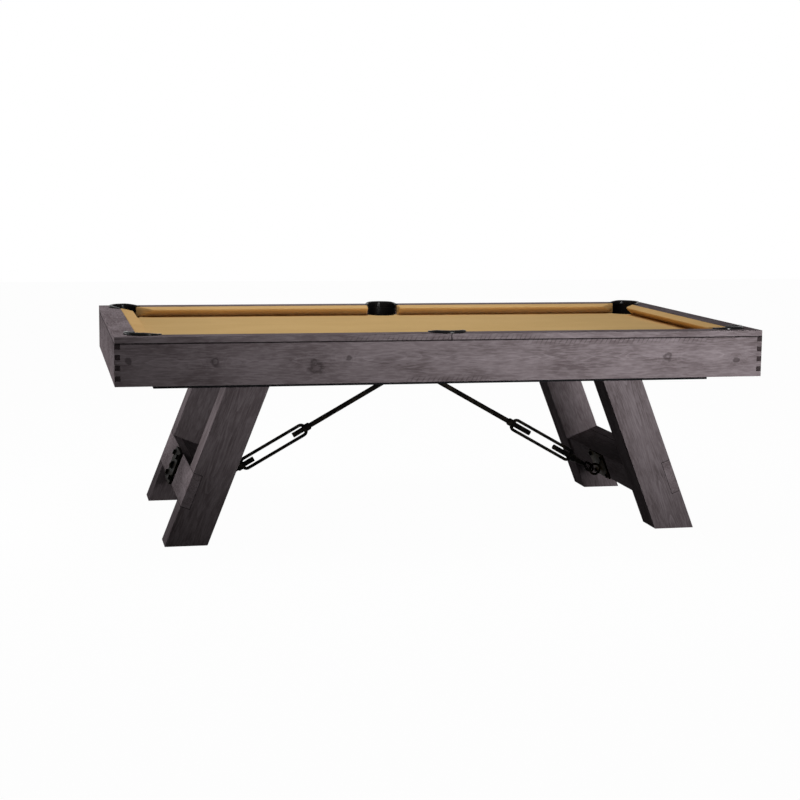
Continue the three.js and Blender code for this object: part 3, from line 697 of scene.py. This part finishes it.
def cushion_section(width, height):
    """Points of (distance from the wood, height above the cloth), from the back round over the nose."""
    points = [(0.0, CUSHION_LIFT), (0.0, height - 0.0022), (0.0004, height - 0.0010),
              (0.0015, height - 0.0002)]
    centre = width - NOSE_RADIUS
    back = 0.003                       # where the sloping top starts
    crest = (centre, NOSE_HEIGHT + NOSE_RADIUS)
    for k in range(1, 9):
        share = k / 9
        crown = 0.0006 * math.sin(math.pi * share)
        points.append((back + share * (crest[0] - back), height - share * (height - crest[1]) + crown))
    for degrees in range(90, -60, -10):
        angle = math.radians(degrees)
        points.append((centre + NOSE_RADIUS * math.cos(angle), NOSE_HEIGHT + NOSE_RADIUS * math.sin(angle)))
    last = points[-1]
    for share in (0.25, 0.5, 0.75):
        hollow = 0.0008 * math.sin(math.pi * share)
        points.append((last[0] + share * (CUSHION_FOOT - last[0]) - hollow, last[1] * (1 - share) + hollow))
    points += [(CUSHION_FOOT, 0.0010), (CUSHION_FOOT - 0.001, CUSHION_LIFT)]
    return points


def cushion(node, along, outward, runs):
    """One cushion: rubber under tight cloth, tucked in beside the wood, with each end cut on a slant. Its
    length runs along axis 0 or 1, outward is the side of the wood, and runs is the lean of its two ends."""
    low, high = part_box(node)
    across = 1 - along
    wood = high[across] if outward > 0 else low[across]
    width, height = high[across] - low[across], high.z - low.z + CUSHION_LIFT
    section = cushion_section(width, height)
    centre = (0.45 * width, 0.6 * height)
    start, stop = low[along], high[along]
    ends = [(0.0, 0.0020), (0.0004, 0.0010), (0.0011, 0.0003), (0.0022, 0.0)]
    rows = [(0, inset, shrink) for inset, shrink in ends]
    rows += [(k / 12, 0.0, 0.0) for k in range(1, 12)]
    rows += [(1, -inset, shrink) for inset, shrink in reversed(ends)]
    rings = []
    for share, inset, shrink in rows:
        ring = []
        for depth, rise in section:
            reach = math.hypot(depth - centre[0], rise - centre[1])
            pull = 1 - shrink / reach
            d, h = centre[0] + (depth - centre[0]) * pull, centre[1] + (rise - centre[1]) * pull
            first = start + runs[0] * d / width
            last = stop - runs[1] * d / width
            point = [0.0, 0.0, low.z - CUSHION_LIFT + h]
            point[along] = first + (last - first) * share + inset
            point[across] = wood - outward * d
            ring.append(point)
        rings.append(ring)
    bm = bmesh.new()
    loft(bm, rings)
    made = make_object(f"{node}_cloth", bm, lit_cushion_felt, sharp=50)
    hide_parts(node)


for side, sign in SIDES.items():
    cushion(f"cushion_{side}_end", 1, sign, (CORNER_RUN, CORNER_RUN))
    runs = (SIDE_RUN, CORNER_RUN)[::sign]
    for depth, way in DEPTHS.items():
        cushion(f"cushion_{depth}_{side}", 0, way, runs)


def pocket_places():
    """Each pocket's name, its centre, the direction that it faces away from the bed, and its kind."""
    for depth, way in DEPTHS.items():
        for place, sign in (("middle", 0), *SIDES.items()):
            name = f"{depth}_{place}"
            centre = middle(f"pocket_cup_{name}")
            kind = "corner" if sign else "side"
            yield name, Vector((centre.x, centre.y)), Vector((sign, way)).normalized(), kind


def bed_sheet():
    """The bed cloth: one sheet over the slates, turned down into each pocket and stretched flat between."""
    low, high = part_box("bed_cloth")
    outer = POCKET_RADIUS - SKIRT_GAP + FOLD
    pockets = sorted(pocket_places(), key=lambda pocket: math.atan2(pocket[1].y, pocket[1].x))
    bm = bmesh.new()
    outline, folds = [], []
    steps = 48
    for _, centre, out, _ in pockets:
        side = Vector((-out.y, out.x))
        limits = (high.x if out.x > 0 else low.x, high.y if out.y > 0 else low.y)
        for which in (-1, 1):
            foot = centre + which * outer * side
            reach = min(abs(edge - foot[axis]) / abs(out[axis])
                        for axis, edge in enumerate(limits) if abs(out[axis]) > 0.1)
            edge = foot + reach * out
            outline.append(bm.verts.new((edge.x, edge.y, high.z)))
            if which < 0:
                fold = []
                for i in range(steps + 1):
                    a = math.pi * i / steps
                    spoke = -math.cos(a) * side - math.sin(a) * out
                    point = centre + outer * spoke
                    fold.append((bm.verts.new((point.x, point.y, high.z)), centre, spoke))
                outline += [vert for vert, _, _ in fold]
                folds.append(fold)
    bm.faces.new(outline)
    bends = [math.radians(degrees) for degrees in (22, 45, 67, 90)]
    levels = [(FOLD * math.sin(a), FOLD * (1 - math.cos(a))) for a in bends]
    levels += [(FOLD, FOLD + (SKIRT - FOLD) * share) for share in (0.3, 0.6, 0.85, 1.0)]
    for fold in folds:
        top = [vert for vert, _, _ in fold]
        wave = random.uniform(0, 6)
        for inward, drop in levels:
            row = []
            for i, (_, centre, spoke) in enumerate(fold):
                ripple = 0.0004 * (drop / SKIRT) * math.sin(0.9 * i + wave)
                point = centre + (outer - inward - ripple) * spoke
                row.append(bm.verts.new((point.x, point.y, high.z - drop)))
            for i in range(steps):
                bm.faces.new((top[i], top[i + 1], row[i + 1], row[i]))
            top = row
    bmesh.ops.triangulate(bm, faces=[face for face in bm.faces if len(face.verts) > 4])
    area = sum(face.calc_area() for face in bm.faces)
    made = make_object("bed_cloth_sheet", bm, bed_felt, sharp=50)
    thick = made.modifiers.new("cloth thickness", "SOLIDIFY")
    thick.thickness = high.z - low.z
    thick.offset = -1.0 if made.data.polygons[0].normal.z > 0 else 1.0
    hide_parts("bed_cloth")


bed_sheet()


# --- Pockets --------------------------------------------------------------

def rim_section():
    """The crowned crescent's closed section, as (radius, height above the rail)."""
    points = [(POCKET_RADIUS, -RIM_LIP), (POCKET_RADIUS + POCKET_WALL, -RIM_LIP),
              (POCKET_RADIUS + POCKET_WALL, GAP), (RIM_RADIUS, GAP)]
    centre, half = (POCKET_RADIUS + RIM_RADIUS) / 2, (RIM_RADIUS - POCKET_RADIUS) / 2
    for k in range(15):
        angle = math.pi * k / 14
        swell = abs(math.cos(angle)) ** 0.75 * math.copysign(1, math.cos(angle))
        points.append((centre + half * swell, RIM_HEIGHT * (0.45 + 0.55 * math.sin(angle) ** 0.85)))
    return points


def rim(name, centre, out, kind):
    """A crescent of the section round the pocket's outer side, with horns that sink and end rounded."""
    spread = RIM_SPREAD[kind]
    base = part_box(f"pocket_rim_{name}")[0].z + RIM_LIP
    side = Vector((-out.y, out.x))
    section = rim_section()
    heart = (POCKET_RADIUS + 0.55 * (RIM_RADIUS - POCKET_RADIUS), 0.3 * RIM_HEIGHT)
    tips = [(0.0, 0.45), (0.25, 0.72), (0.7, 0.9), (1.4, 1.0)]
    rows = [(-spread + inset, size) for inset, size in tips]
    rows += [(-spread + 2 * spread * k / 110, 1.0) for k in range(2, 109)]
    rows += [(spread - inset, size) for inset, size in reversed(tips)]
    rings = []
    for degrees, size in rows:
        share = min(1.0, max(0.0, (abs(degrees) - RIM_TAPER_START) / (spread - RIM_TAPER_START)))
        sink = RIM_SINK * share * share * (3 - 2 * share)
        spoke = math.cos(math.radians(degrees)) * out + math.sin(math.radians(degrees)) * side
        ring = []
        for radius, height in section:
            if height > GAP:
                height = GAP + (height - GAP) * (1 - sink)
            if size < 1.0 and height >= GAP:
                radius = heart[0] + (radius - heart[0]) * size
                height = GAP + (height - GAP) * size
            point = centre + radius * spoke
            ring.append((point.x, point.y, base + height))
        rings.append(ring)
    bm = bmesh.new()
    loft(bm, rings)
    made = make_object(f"rim_{name}", bm, rim_gloss, sharp=45)
    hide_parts(f"pocket_rim_{name}")


def cup(name, centre, out):
    """The bucket below the bed and, on its outer half, the wall up to the rim, in one moulding."""
    low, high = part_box(f"pocket_cup_{name}")
    inner, outer = POCKET_RADIUS, POCKET_RADIUS + POCKET_WALL
    floor = low.z + POCKET_WALL
    turn = math.atan2(out.y, out.x)
    segments = 96
    bed_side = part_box("slate_centre")[0].z - GAP
    outside = [(CUP_FLOOR_RADIUS, low.z), (0.049, low.z + 0.0012), (0.0525, low.z + 0.005),
               (0.056, floor + 0.012), (outer, bed_side - 0.006), (outer, bed_side)]
    inside = [(0.0425, floor), (0.047, floor + 0.0016), (0.050, floor + 0.0055),
              (0.053, floor + 0.013), (inner, bed_side - 0.006), (inner, bed_side)]
    bm = bmesh.new()
    verts = {}

    def vert(i, radius, height):
        key = (i % segments, round(radius, 6), round(height, 6))
        if key not in verts:
            a = turn + 2 * math.pi * key[0] / segments
            x, y = centre.x + radius * math.cos(a), centre.y + radius * math.sin(a)
            verts[key] = bm.verts.new((x, y, height))
        return verts[key]

    def panel(i, first, last):
        bm.faces.new((vert(i, *first), vert(i + 1, *first), vert(i + 1, *last), vert(i, *last)))

    quarter = segments // 4
    for i in range(segments):
        tall = i < quarter or i >= 3 * quarter
        for wall, reach in ((outside, outer), (inside, inner)):
            rows = wall + [(reach, high.z)] if tall else wall
            for first, last in zip(rows, rows[1:]):
                panel(i, first, last)
        top = high.z if tall else bed_side
        panel(i, (outer, top), (inner, top))
    for i in (quarter, 3 * quarter):
        bm.faces.new((vert(i, outer, bed_side), vert(i, outer, high.z),
                      vert(i, inner, high.z), vert(i, inner, bed_side)))
    for radius, height in (outside[0], inside[0]):
        bm.faces.new([vert(i, radius, height) for i in range(segments)])
    made = make_object(f"cup_{name}", bm, liner_gloss)
    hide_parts(f"pocket_cup_{name}")


for name, centre, out, kind in pocket_places():
    rim(name, centre, out, kind)
    cup(name, centre, out)


def sights():
    """Eighteen small round inlays along the rails, an eighth of the playing length apart."""
    play = 2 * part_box("cushion_right_end")[0].x
    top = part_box("rail_right_end")[1].z
    end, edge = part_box("apron_right")[1].x - SIGHT_INSET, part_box("apron_back")[1].y - SIGHT_INSET
    spots = [(sign * k * play / 8, way * edge) for k in (1, 2, 3) for sign in (-1, 1) for way in (-1, 1)]
    spots += [(sign * end, k * play / 8) for k in (-1, 0, 1) for sign in (-1, 1)]
    dome = [(-0.0006, SIGHT_RADIUS), (0.0001, SIGHT_RADIUS), (0.0003, 0.0040), (0.00035, 0.0015)]
    bm = bmesh.new()
    for x, y in spots:
        revolve(bm, Matrix.Translation((x, y, top)) @ Matrix.Rotation(math.radians(-90), 4, "Y"), dome, 28)
    make_object("rail_sights", bm, liner_gloss)


sights()


# --- Braces ---------------------------------------------------------------

def axes_at(origin, x_axis, y_axis):
    """A frame at origin with the given X and Y, and Z square to them."""
    turn = Matrix((x_axis, y_axis, x_axis.cross(y_axis))).transposed()
    return Matrix.Translation(origin) @ turn.to_4x4()


def curve(start, corner, end, t):
    """From start to end, leaving towards the corner and arriving from it."""
    return (1 - t) ** 2 * start + 2 * t * (1 - t) * corner + t * t * end


def turnbuckle(side, place):
    """The body: two side bars that bow into a bored collar at each end, in one forging."""
    half = (BODY_END - BODY_START) / 2
    bm = bmesh.new()
    for way in (-1, 1):
        path = []
        for t in (k / 12 for k in range(13)):
            along = curve(half - BODY_BEND, half - BEND_CORNER, half - BAR_END[0], t)
            path.append(Vector((along, 0, way * curve(BODY_HALF_WIDTH, BODY_HALF_WIDTH, BAR_END[1], t))))
        path = [Vector((-p.x, 0, p.z)) for p in reversed(path)] + path
        rings = []
        for i, point in enumerate(path):
            ahead = (path[min(i + 1, len(path) - 1)] - path[max(i - 1, 0)]).normalized()
            up = ahead.cross(Vector((0, 1, 0)))
            rings.append([place @ (point + BODY_WIRE * (math.cos(a) * Vector((0, 1, 0)) + math.sin(a) * up))
                          for a in (2 * math.pi * j / 18 for j in range(18))])
        loft(bm, rings)
    inner = half - COLLAR_LENGTH
    profile = [(inner, BORE), (inner, COLLAR_RADIUS - 0.002), (inner + 0.002, COLLAR_RADIUS),
               (half - 0.005, COLLAR_RADIUS), (half - 0.001, COLLAR_RADIUS - 0.0028),
               (half, COLLAR_RADIUS - 0.004), (half, BORE), (inner, BORE)]
    for way in (-1, 1):
        revolve(bm, place, [(way * along, radius) for along, radius in profile], 48)
    made = make_object(f"turnbuckle_{side}_forging", bm, steel, f"turnbuckle_{side}")
    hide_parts(f"turnbuckle_body_{side}")


def lower_rod(side, place, eye):
    """The lower rod: a threaded bar that ends in a forged eye. Returns where the eye starts."""
    shoulder = eye - ROD_EYE_RADIUS
    neck = shoulder - NECK_START
    bm = bmesh.new()
    start = STUBS[side][1]
    profile = [(start, ROD_RADIUS - ROD_CHAMFER), (start + ROD_CHAMFER, ROD_RADIUS), (neck, ROD_RADIUS)]
    for t in (k / 6 for k in range(1, 7)):
        thinned = (ROD_RADIUS - ROD_EYE_WIRE) * t * t * (3 - 2 * t)
        profile.append((neck + NECK_LENGTH * t, ROD_RADIUS - thinned))
    revolve(bm, place, profile, 32)
    turned = Matrix.Translation((eye, 0, 0)) @ Matrix.Rotation(ROD_EYE_ROLL, 4, "X")
    ring_bar(bm, place @ turned, ROD_EYE_RADIUS, ROD_EYE_WIRE)
    made = make_object(f"lower_rod_{side}", bm, steel)
    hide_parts(f"brace_lower_rod_{side}")
    return shoulder


def rod_threads(side, place, shoulder):
    """Threads on the rods, outside the collars and on the two ends inside the body."""
    upper, lower = STUBS[side]
    inner_start = BODY_START + COLLAR_LENGTH + THREAD_CLEARANCE
    inner_stop = BODY_END - COLLAR_LENGTH - THREAD_CLEARANCE
    bm = bmesh.new()
    for start, stop in ((BODY_START - THREAD_ABOVE, BODY_START - THREAD_CLEARANCE),
                        (inner_start, upper - THREAD_INSET), (lower + THREAD_INSET, inner_stop),
                        (BODY_END + THREAD_CLEARANCE, shoulder - THREAD_TO_EYE)):
        thread(bm, place, start, stop)
    make_object(f"rod_threads_{side}", bm, steel)


def eye_plate(side, stretcher, eye_at):
    """The eye bolt and its plate, with the ring upright along the table and a weld round its root."""
    width, length, thick = EYE_PLATE
    plate_x = -CORE_HALF - GAP - thick / 2
    bm = bmesh.new()
    slab(bm, stretcher @ Matrix.Translation((plate_x, 0, 0)), (thick, width, length), STEEL_EASE)
    to_bolt = stretcher @ Matrix.Translation((0, 0, EYE_UP))
    inner = plate_x - thick / 2
    weld = [(0.001, 0.0150), (-0.0015, 0.0135), (-0.0035, 0.0115), (-0.005, 0.0108), (-0.0062, 0.0095),
            (-0.0062, 0.004)]
    revolve(bm, to_bolt, [(inner + along, radius) for along, radius in weld], 32)
    end = CLAMP_FACE + BOLT_END
    revolve(bm, to_bolt, [(plate_x, BOLT_RADIUS), (end - 0.0012, BOLT_RADIUS), (end, BOLT_TIP)], 28)
    upright = axes_at(eye_at, Vector((1, 0, 0)), Vector((0, 0, 1)))
    ring_bar(bm, upright, EYE_RADIUS, EYE_WIRE)
    made = make_object(f"eye_bolt_{side}", bm, eye_steel)
    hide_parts(f"eye_plate_{side}")


def plate_bolts(side, stretcher):
    """Heads on both plates, and the eye bolt's nut on the clamp plate."""
    bm = bmesh.new()
    back = Matrix.Rotation(math.radians(180), 4, "Z")
    face = -CORE_HALF - GAP - EYE_PLATE[2]
    for y, z in corners(*EYE_BOLTS):
        hex_bolt(bm, stretcher @ Matrix.Translation((face, y, z)) @ back, *SMALL_HEAD)
    clamp = stretcher @ Matrix.Translation((CLAMP_FACE, 0, 0))
    for y, z in corners(*CLAMP_BOLTS):
        hex_bolt(bm, clamp @ Matrix.Translation((0, y, CLAMP_UP + z)), *CLAMP_HEAD)
    hex_bolt(bm, clamp @ Matrix.Translation((0, 0, EYE_UP)), *EYE_NUT)
    make_object(f"plate_bolts_{side}", bm, steel, sharp=30)


def brace(side, sign):
    """A whole brace, set out from its turnbuckle's joint and its stretcher's core."""
    joint = next(j for j in frame["joints"] if j["child"] == f"turnbuckle_{side}")
    axis = Vector(joint["axis"]).normalized()
    body_middle = (BODY_START + BODY_END) / 2
    pin = Vector(joint["pos_m"]) - body_middle * axis
    place = axes_at(pin, axis, Vector((0, sign, 0)))
    out = Vector((sign * math.cos(LEAN), 0, math.sin(LEAN)))
    stretcher = axes_at(middle(f"stretcher_core_{side}"), out, Vector((0, sign, 0)))
    eye_at = stretcher @ Vector((EYE_OUT, 0, EYE_UP))
    reach = eye_at - pin
    off = (reach - reach.dot(axis) * axis).length
    link = math.sqrt(EYE_RADIUS ** 2 - off ** 2) + ROD_EYE_RADIUS - EYE_WIRE - ROD_EYE_WIRE - LINK_CLEARANCE
    turnbuckle(side, place @ Matrix.Translation((body_middle, 0, 0)))
    shoulder = lower_rod(side, place, reach.dot(axis) - link)
    eye_plate(side, stretcher, eye_at)
    rod_threads(side, place, shoulder)
    plate_bolts(side, stretcher)


for side, sign in SIDES.items():
    brace(side, sign)


def bracket_bolts():
    """Four heads under the centre bracket's plate."""
    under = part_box("centre_bracket")[1].z - BRACKET_THICKNESS
    down = Matrix.Rotation(math.radians(90), 4, "Y")
    bm = bmesh.new()
    for x, y in corners(*BRACKET_BOLTS):
        hex_bolt(bm, Matrix.Translation((x, y, under)) @ down, *SMALL_HEAD)
    make_object("bracket_bolts", bm, steel, sharp=30)


bracket_bolts()


# --- Studio ---------------------------------------------------------------

CAMERA_AT = (-1.537, -6.800, 1.446)
CAMERA_TURN = (12.378, 7.961, 0.621)   # degrees: to the right, down, and rolled
LENS = 75.53


def floor():
    bm = bmesh.new()
    bmesh.ops.create_grid(bm, x_segments=8, y_segments=8, size=14)
    made = add_mesh("studio_floor", bm, floor_paint("floor_paint"))
    made.location.z = -0.0005


def softbox(name, place, target, width, height, power, spread):
    data = bpy.data.lights.new(name, "AREA")
    data.shape = "RECTANGLE"
    data.size = width
    data.size_y = height
    data.energy = power
    data.spread = math.radians(spread)
    made = add_object(name, data)
    made.location = place
    made.rotation_euler = (Vector(target) - Vector(place)).to_track_quat("-Z", "Y").to_euler()


def backdrop():
    """White to the camera and in reflections, and a dimmer white as light."""
    world = bpy.data.worlds.new("studio")
    bpy.context.scene.world = world
    world.use_nodes = True
    tree = world.node_tree
    tree.nodes.clear()
    whites = []
    for strength in (0.05, 1.0):
        white = tree.nodes.new("ShaderNodeBackground")
        white.inputs["Strength"].default_value = strength
        white.inputs["Color"].default_value = (1, 1, 1, 1)
        whites.append(white.outputs[0])
    output = tree.nodes.new("ShaderNodeOutputWorld")
    tree.links.new(mix_shaders(tree, background_rays(tree), *whites), output.inputs["Surface"])


def camera():
    """Standing off the front's left half, at eye height, looking slightly down."""
    yaw, pitch, roll = (math.radians(angle) for angle in CAMERA_TURN)
    forward = Vector((math.sin(yaw) * math.cos(pitch), math.cos(yaw) * math.cos(pitch), -math.sin(pitch)))
    level = Vector((math.cos(yaw), -math.sin(yaw), 0))
    upright = level.cross(forward)
    right = math.cos(roll) * level + math.sin(roll) * upright
    up = math.cos(roll) * upright - math.sin(roll) * level
    data = bpy.data.cameras.new("camera")
    data.sensor_width = 36
    data.lens = LENS
    made = add_object("camera", data)
    turn = Matrix((right, up, -forward)).transposed()
    made.matrix_world = Matrix.Translation(CAMERA_AT) @ turn.to_4x4()
    bpy.context.scene.camera = made


floor()
backdrop()
camera()
softbox("overhead", (-0.3, 0.3, 3.6), (0, 0, 0.8), 3.2, 2.0, 70, 180)
softbox("left", (-2.3, 0.0, 0.74), (-1.2, 0.0, 0.6), 1.2, 0.5, 9, 180)
for way in DEPTHS.values():
    softbox(f"leg_{way}", (-1.75, way * 0.52, 0.15), (-0.9, way * 0.52, 0.55), 0.3, 0.15, 0.65, 50)
softbox("front_right", (1.4, -4.6, 0.85), (0.9, -0.6, 2.1), 1.2, 0.4, 52, 74)

bpy.context.scene.view_settings.view_transform = "Standard"
